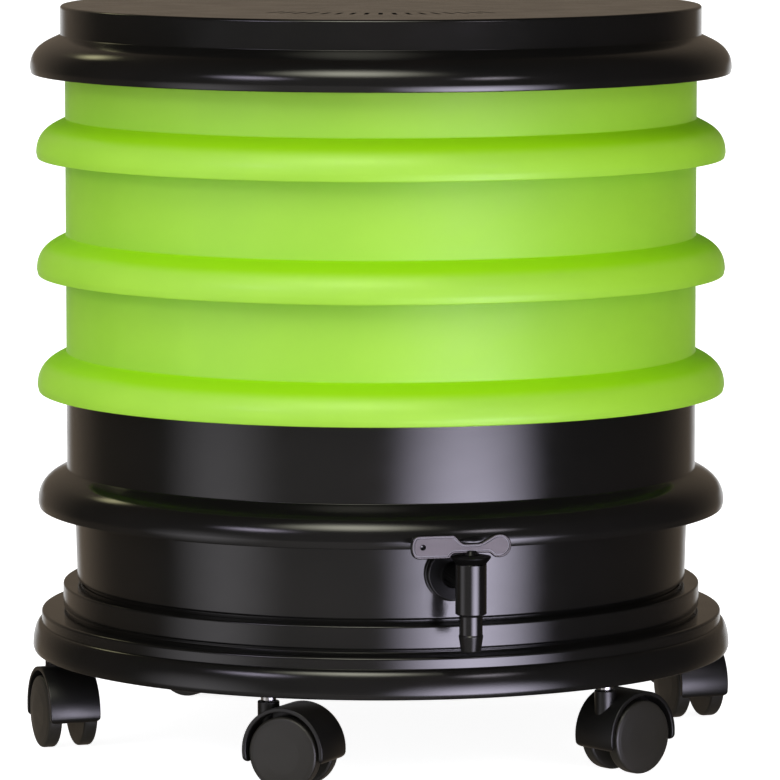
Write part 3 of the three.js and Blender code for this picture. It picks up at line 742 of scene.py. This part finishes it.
def lever_outline():
    """The lever from the front: a long arm to the left, a dip over the bonnet and a short rounded arm."""
    under, over, dip, saddle = LEVER_UNDER_Z, LEVER_TOP_Z, 173.2, 180.2
    tip, arm, middle = -43.2, -37, 178.2
    points = [(-16.5, under)]
    points += bezier([(-16.5, under), (-15, under), (-15, dip), (-11.5, dip)], 8)
    points += bezier([(-11.5, dip), (11.5, dip)], 6)
    points += bezier([(11.5, dip), (15, dip), (15, under), (18.5, under)], 8)
    points += ellipse(20.2, 178.1, 8.4, 8.4, -100, 120, 24)
    points += bezier([points[-1], (10, 182.5), (8, saddle), (4, saddle)], 10)
    points += bezier([(4, saddle), (-4, saddle)], 3)
    points += bezier([(-4, saddle), (-9, saddle), (-10, over), (-14, over)], 10)
    points += bezier([(-14, over), (arm, over)], 6)
    points += bezier([(arm, over), (tip, over), (tip, middle)], 10)
    points += bezier([(tip, middle), (tip, under), (arm, under)], 10)
    points += bezier([(arm, under), (-16.5, under)], 6)[:-1]
    return points


def inset(points, distance):
    """A closed outline moved inwards; the outline runs anticlockwise."""
    out = []
    for i, point in enumerate(points):
        here = Vector(point)
        before = (here - Vector(points[i - 1])).normalized()
        after = (Vector(points[(i + 1) % len(points)]) - here).normalized()
        along = (before + after).normalized()
        out.append(tuple(here + Vector((-along.y, along.x)) * distance))
    return out


def lever_blade():
    """The lever's blade: bevelled round its edge, with a raised border and a sunken groove inside it."""
    outline = lever_outline()
    half = LEVER_THICKNESS / 2
    layers = [(0.7, half), (0.15, half - 0.5), (0, half - 1.0), (0, 1.0 - half), (0.15, 0.5 - half),
              (0.7, -half), (1.5, -half), (1.6, -half + 0.9), (2.2, -half + 0.9), (2.3, -half + 0.15)]
    return skinned([[(x, depth, z) for x, z in inset(outline, distance)] for distance, depth in layers])


def tap_lever_mesh():
    """The lever in one piece with its plug, which is bored from below and at one side."""
    plug = lathe(filleted([
        (0, CAVITY_Z + 0.3),
        (PLUG_RADIUS, CAVITY_Z + 0.3, 0.3),
        (PLUG_RADIUS, 157.7),
        (PLUG_GROOVE_RADIUS, 157.7),
        (PLUG_GROOVE_RADIUS, 160.7),
        (PLUG_RADIUS, 160.7),
        (PLUG_RADIUS, 165.2, 0.3),
        (SPINDLE_RADIUS, 165.2),
        (SPINDLE_RADIUS, BONNET_TOP_Z + 0.3),
        (4, BONNET_TOP_Z + 3),
        (0, BONNET_TOP_Z + 3),
    ]), segments=48)
    lever = combined(lever_blade(), plug, "UNION")
    dimple = lathe([(0, 0), (1, 0.2), (1.8, 1), (2.1, 1.8), (2.1, 4), (0, 4)], segments=32)
    dimple = moved(lying(dimple, 178.3), Matrix.Translation((-35, 1.3, 0)))
    lever = combined(lever, dimple, "DIFFERENCE")
    bore = rod(PLUG_BORE_RADIUS, CAVITY_Z - 2, TAP_Z, segments=24)
    lever = combined(lever, bore, "DIFFERENCE")
    window = rod(PLUG_BORE_RADIUS, -1, 15, segments=24)
    window = moved(window, Matrix.Translation((0, 0, TAP_Z)) @ Matrix.Rotation(math.pi / 2, 4, "Y"))
    mesh = finished_mesh("tap_lever", combined(lever, window, "DIFFERENCE"), TAP_BLACK)
    mesh.materials.append(LEVER_PAINTED_SHEEN)
    # The blade's front and back faces take the painted sheen; its edges keep the tap's dark black
    half = LEVER_THICKNESS / 2
    for face in mesh.polygons:
        on_the_face = (half - 0.4) * MM < abs(face.center.y) < (half + 0.1) * MM
        if on_the_face and abs(face.normal.y) > 0.9:
            face.material_index = 1
    return mesh


def ring_mesh(name, inner, outer, low, high, fillet, material, segments=FINE):
    """A plain turned ring with rounded edges."""
    outline = [(inner, low, fillet), (outer, low, fillet), (outer, high, fillet), (inner, high, fillet)]
    return finished_mesh(name, lathe(filleted(outline, closed=True), segments, True), material)


def tap_nut_mesh():
    """Hexagonal nut on the inlet, chamfered at both ends."""
    low, high = NUT_INNER_FACE, NUT_OUTER_FACE
    hexagon = rod(NUT_RADIUS, low, high, segments=6)
    chamfer = lathe([
        (0, low), (13.4, low), (15.4, low + 1.4), (15.4, high - 1.4), (13.4, high), (0, high),
    ], FINE)
    hexagon = combined(hexagon, chamfer, "INTERSECT")
    bore = rod(FITTING_BORE_RADIUS, low - 3, high + 3)
    return finished_mesh("tap_nut", lying(combined(hexagon, bore, "DIFFERENCE")), TAP_BLACK)


def add_tap():
    x, y = BARREL_DISTANCE * math.sin(TAP_TURN), -BARREL_DISTANCE * math.cos(TAP_TURN)
    upright = in_metres(x, y, 0, TAP_TURN)
    turned = in_metres(0, 0, 0, TAP_TURN)
    raised = in_metres(0, 0, TAP_Z, TAP_TURN)
    seal = ring_mesh("tap_seal", PLUG_GROOVE_RADIUS + 0.3, PLUG_RADIUS, 158, 160.4, 0.6, RUBBER)
    low, high = PAD_DISTANCE + 0.3, PAD_DISTANCE + 2
    gasket = lathe(filleted([
        (FITTING_BORE_RADIUS, low),
        (GASKET_RADIUS, low, 0.4),
        (GASKET_RADIUS, high, 0.4),
        (FITTING_BORE_RADIUS, high),
    ], closed=True), FINE, closed=True)
    gasket = finished_mesh("tap_gasket", lying(gasket), RUBBER)
    place_piece("tap_body_moulding", put(tap_body_mesh(), turned), "tap_body", "collector")
    place_piece("tap_bonnet_cap", put(tap_bonnet_mesh(), upright), "tap_bonnet", "collector")
    place_piece("tap_lever_arm", put(tap_lever_mesh(), upright), "tap_lever", "tap_lever")
    place_piece("tap_seal_ring", put(seal, upright), "tap_plug_seal", "tap_lever")
    place_piece("tap_gasket_ring", put(gasket, raised), "tap_gasket", "collector")
    place_piece("tap_nut_hexagon", put(tap_nut_mesh(), raised), "tap_nut", "collector")


# Castors

def axle_turned(bm):
    """Puts a piece that is turned about Z onto the castor's axle, which lies along Y."""
    return moved(bm, Matrix.Translation((TRAIL, 0, WHEEL_RADIUS)) @ Matrix.Rotation(-math.pi / 2, 4, "X"))


def rounded_box(low, high, half, radius):
    """An outline from low to high and to both sides of the middle, with its corners rounded."""
    out = []
    corners = [(low, -half, 1, 1), (high, -half, -1, 1), (high, half, -1, -1), (low, half, 1, -1)]
    for i, (x, y, towards_x, towards_y) in enumerate(corners):
        for k in range(5):
            angle = math.radians(180 + 90 * i + 22.5 * k)
            across, up = towards_x + math.cos(angle), towards_y + math.sin(angle)
            out.append((x + radius * across, y + radius * up))
    return out


def swept_sector(inner, outer, half_width, corner, edge):
    """A band over the top of the wheels, with its four corners and the edges along it rounded."""
    start = math.radians(-HOOD_TRAILING_END)
    end = math.radians(180 + HOOD_STEM_END)
    length = (end - start) * HOOD_RADIUS
    near = [corner * (1 - math.cos(math.pi * k / 12)) for k in range(6)]
    plain = [corner + (length - 2 * corner) * k / 40 for k in range(41)]
    sections = []
    for along in near + plain + [length - s for s in reversed(near)]:
        angle = start + along / HOOD_RADIUS
        left = max(corner - min(along, length - along), 0)
        narrower = corner - math.sqrt(corner ** 2 - left ** 2)
        thinner = 0.45 * corner * (left / corner) ** 2
        section = rounded_box(inner, outer - thinner, half_width - narrower, edge)
        height = WHEEL_RADIUS + HOOD_ABOVE_AXLE
        sections.append([(TRAIL + r * math.cos(angle), y, height + r * math.sin(angle)) for r, y in section])
    return skinned(sections)


def hood_mesh():
    shell = swept_sector(HOOD_RADIUS - HOOD_WALL, HOOD_RADIUS, HOOD_HALF_WIDTH, 4, 0.6)
    web = swept_sector(4.3, HOOD_RADIUS - 1.5, WEB_HALF_WIDTH, 1.5, 0.3)
    hub = axle_turned(rod(HUB_RADIUS, -WEB_HALF_WIDTH, WEB_HALF_WIDTH, segments=32))
    boss = lathe(filleted([
        (0, BOSS_FOOT_Z), (BOSS_RADIUS, BOSS_FOOT_Z, 1), (BOSS_RADIUS, BOSS_TOP_Z, 0.8), (0, BOSS_TOP_Z),
    ]), segments=48)
    body = combined(shell, web, "UNION")
    body = combined(body, hub, "UNION")
    body = combined(body, boss, "UNION")
    axle_bore = axle_turned(rod(AXLE_RADIUS + 0.3, -AXLE_REACH, AXLE_REACH, segments=24))
    body = combined(body, axle_bore, "DIFFERENCE")
    stem_bore = rod(STEM_RADIUS + 0.3, STEM_FOOT_Z - 0.3, BOSS_TOP_Z + 5, segments=32)
    return finished_mesh("castor_hood", combined(body, stem_bore, "DIFFERENCE"), CASTOR_BLACK)


def wheel_mesh(side):
    """A wheel with a rounded tread and a slightly domed outer face."""
    outline = filleted([
        (0, WHEEL_BORE_END),
        (WHEEL_BORE_RADIUS, WHEEL_BORE_END),
        (WHEEL_BORE_RADIUS, WHEEL_INNER_FACE, 0.5),
        (WHEEL_RADIUS, WHEEL_INNER_FACE, 2),
        (WHEEL_RADIUS, 18.2, 2.6),
        (22.5, 19, 0.8),
        (14, 19.8, 20),
        (0, 20.2),
    ])
    bm = lathe(outline, segments=96)
    if side > 0:
        moved(bm, Matrix.Rotation(math.pi, 4, "X"))
    return finished_mesh("castor_wheel", axle_turned(bm), WHEEL_BLACK)


def add_castors():
    hood = hood_mesh()
    stem = finished_mesh("castor_stem", lathe(filleted([
        (0, STEM_FOOT_Z),
        (STEM_RADIUS, STEM_FOOT_Z, 0.5),
        (STEM_RADIUS, COLLAR_FOOT_Z),
        (COLLAR_RADIUS, COLLAR_FOOT_Z, 0.5),
        (COLLAR_RADIUS, COLLAR_TOP_Z, 0.8),
        (STEM_RADIUS, COLLAR_TOP_Z, 0.3),
        (STEM_RADIUS, STEM_TOP_Z, 0.8),
        (0, STEM_TOP_Z),
    ]), segments=32), STEEL)
    socket = ring_mesh("castor_socket", SOCKET_BORE_RADIUS, SOCKET_RADIUS, SOCKET_FOOT_Z, SOCKET_TOP_Z, 0.4,
                       CASTOR_BLACK, segments=32)
    axle = finished_mesh("castor_axle", axle_turned(lathe(filleted([
        (0, -AXLE_REACH), (AXLE_RADIUS, -AXLE_REACH, 0.4), (AXLE_RADIUS, AXLE_REACH, 0.4), (0, AXLE_REACH),
    ]), segments=24)), STEEL)
    wheels = {"left": wheel_mesh(-1), "right": wheel_mesh(1)}
    for i, angle in enumerate(stem_angles()):
        name = f"castor_{i + 1}"
        x, y = STEM_CIRCLE * math.sin(angle), -STEM_CIRCLE * math.cos(angle)
        facing_out = in_metres(x, y, 0, angle)
        trailing = in_metres(x, y, 0, math.radians(TRAIL_ANGLES[i]))
        place_piece(f"{name}_sleeve", socket, f"{name}_socket", "base", facing_out)
        place_piece(f"{name}_pin", stem, f"{name}_stem", name, trailing)
        place_piece(f"{name}_cover", hood, f"{name}_hood", name, trailing)
        place_piece(f"{name}_axle_pin", axle, f"{name}_axle", name, trailing)
        for side, mesh in wheels.items():
            body = f"{name}_{side}"
            place_piece(f"{name}_{side}_disc", mesh, f"{name}_wheel_{side}", body, trailing)


# Studio

def background(tree, colour, strength):
    return add_node(tree, "ShaderNodeBackground", {
        "Color": colour, "Strength": strength,
    }).outputs["Background"]


def chosen(tree, share, first, second):
    """Two shaders, mixed by a share."""
    return add_node(tree, "ShaderNodeMixShader", {"Fac": share, 1: first, 2: second}).outputs["Shader"]


def add_floor():
    """A pale floor that reads as white and keeps the object's soft shadow."""
    material, tree = new_tree("studio_floor")
    path = add_node(tree, "ShaderNodeLightPath")
    place = add_node(tree, "ShaderNodeTexCoord").outputs["Object"]
    lit = add_node(tree, "ShaderNodeBsdfDiffuse", {
        "Color": mixed(tree, noise(tree, place, 3, 2), (0.80, 0.80, 0.80, 1), (0.82, 0.82, 0.82, 1)),
    }).outputs["BSDF"]
    glow = add_node(tree, "ShaderNodeEmission", {
        "Color": (1, 1, 1, 1),
        "Strength": worked_out(tree, "MULTIPLY", path.outputs["Is Camera Ray"], FLOOR_GLOW),
    }).outputs["Emission"]
    show(tree, add_node(tree, "ShaderNodeAddShader", {0: lit, 1: glow}).outputs["Shader"])
    bm = bmesh.new()
    bmesh.ops.create_circle(bm, cap_ends=True, radius=FLOOR_RADIUS, segments=96)
    mesh = bpy.data.meshes.new("floor")
    bm.to_mesh(mesh)
    bm.free()
    mesh.materials.append(material)
    floor = bpy.data.objects.new("floor", mesh)
    bpy.context.scene.collection.objects.link(floor)
    floor.visible_glossy = False
    floor.visible_shadow = False


def add_world():
    """White to the camera. Its light comes mostly from the front left. The gloss sees a dim warm room, and
    white only behind the object, below the horizon."""
    world = bpy.data.worlds.new("studio")
    bpy.context.scene.world = world
    world.use_nodes = True
    tree = world.node_tree
    tree.nodes.clear()
    path = add_node(tree, "ShaderNodeLightPath")
    direction = add_node(tree, "ShaderNodeTexCoord").outputs["Generated"]
    place = add_node(tree, "ShaderNodeSeparateXYZ", {"Vector": direction})
    x, y, z = (place.outputs[axis] for axis in "XYZ")
    white = background(tree, (1, 1, 1, 1), 1)

    # What lights the object: strongest from the front left
    towards = add_node(tree, "ShaderNodeVectorMath", {0: direction, 1: (-0.64, -0.77, 0)},
                       operation="DOT_PRODUCT").outputs["Value"]
    ambient = background(tree, (1, 1, 1, 1), spread(tree, towards, 0.11, 1.12, (-1, 1)))

    # The room: brighter in front, to the left and below, with a faint light at the back, and warmer there
    front = eased(tree, y, 0.42, 0.09, (-1, -0.2))
    below = eased(tree, z, 1, 0.4, (-0.2, -0.02))
    rear = eased(tree, y, 0, 0.16, (0.45, 0.92))
    around = worked_out(tree, "ADD", worked_out(tree, "MULTIPLY", front, below), rear)
    leftwards = spread(tree, x, 1.3, 0.6, (-1, 1))
    tint = mixed(tree, eased(tree, y, 0, 1, (-0.5, 0.3)), (1, 0.95, 0.92, 1), (1, 0.8, 0.6, 1))
    room = background(tree, tint, worked_out(tree, "MULTIPLY", around, leftwards))

    # The white backdrop that the gloss sees
    behind = eased(tree, y, 0, 1, (0.9, 1))
    under_horizon = eased(tree, z, 1, 0, (-0.05, 0.03))
    gloss = chosen(tree, worked_out(tree, "MULTIPLY", behind, under_horizon), room, white)

    lit = chosen(tree, path.outputs["Is Glossy Ray"], ambient, gloss)
    seen = worked_out(tree, "MAXIMUM", path.outputs["Is Camera Ray"], path.outputs["Is Transmission Ray"])
    show(tree, chosen(tree, seen, lit, white), "ShaderNodeOutputWorld")


def add_softbox(name, azimuth, distance, height, size, radiance, colour, aim):
    """An area light that is brightest in its middle and fades out towards its edges."""
    angle = math.radians(azimuth)
    data = bpy.data.lights.new(name, "AREA")
    data.shape = "RECTANGLE"
    data.size, data.size_y = size
    data.energy = radiance * math.pi * size[0] * size[1]
    data.color = colour
    data.use_nodes = True
    tree = data.node_tree
    across = add_node(tree, "ShaderNodeNewGeometry").outputs["Parametric"]
    off_middle = add_node(tree, "ShaderNodeVectorMath", {0: across, 1: (0.5, 0.5, 0)}, operation="SUBTRACT")
    level = add_node(tree, "ShaderNodeVectorMath", {0: off_middle.outputs["Vector"], 1: (2, 2, 0)},
                     operation="MULTIPLY")
    edge = add_node(tree, "ShaderNodeVectorMath", {0: level.outputs["Vector"]}, operation="LENGTH")
    fade = eased(tree, edge.outputs["Value"], 1, 0, (0, 1))
    tree.links.new(fade, tree.nodes["Emission"].inputs["Strength"])
    light = bpy.data.objects.new(name, data)
    light.location = (distance * math.sin(angle), -distance * math.cos(angle), height)
    facing = Vector((0, 0, aim)) - light.location
    light.rotation_euler = facing.to_track_quat("-Z", "Y").to_euler()
    light.visible_camera = False
    light.visible_diffuse = name not in GLOSS_ONLY
    bpy.context.scene.collection.objects.link(light)


def add_camera():
    camera = bpy.data.objects.new("camera", bpy.data.cameras.new("camera"))
    camera.location = CAMERA_PLACE
    camera.rotation_euler = (math.pi / 2 - CAMERA_TILT, 0, 0)
    camera.data.sensor_width = 36
    camera.data.lens = 274.45
    bpy.context.scene.collection.objects.link(camera)
    bpy.context.scene.camera = camera


place_piece("base_shell", base_mesh(), "base", "base")
place_piece("collector_shell", collector_mesh(), "collector", "collector",
            in_metres(0, 0, COLLECTOR_Z))
tray = tray_mesh()
for name, height in TRAY_Z.items():
    place_piece(f"{name}_shell", tray, name, name, in_metres(0, 0, height))
place_piece("lid_shell", lid_mesh(), "lid", "lid", in_metres(0, 0, LID_Z))
add_tap()
add_castors()

add_floor()
add_world()
for lamp in LAMPS:
    add_softbox(*lamp)
add_camera()
bpy.context.scene.view_settings.view_transform = "Standard"
